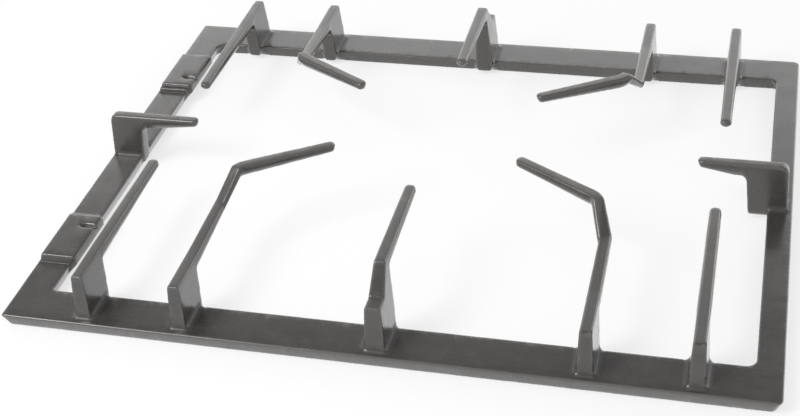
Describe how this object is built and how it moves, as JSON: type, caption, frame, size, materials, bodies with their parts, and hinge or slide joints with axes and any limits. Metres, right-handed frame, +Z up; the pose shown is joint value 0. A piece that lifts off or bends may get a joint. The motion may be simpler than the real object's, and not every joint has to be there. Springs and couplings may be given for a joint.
{
  "type": "hob pan support",
  "caption": "Cast iron pan support for a gas hob with one central wok burner: flat rectangular frame with raised fingers that point to the burner.",
  "frame": {"origin": "middle of the underside, at the centre of the bounding box's base", "axes": "+X along the longest side, to the right seen from the front, with the narrow bar at +X; +Y toward the back; +Z up"},
  "size_m": [0.45, 0.355, 0.0541],
  "materials": {
    "enamelled_iron": "satin dark grey enamel over a fine sand-cast texture"
  },
  "bodies": {
    "root": {"pan_support": "enamelled_iron"}
  },
  "joints": []
}
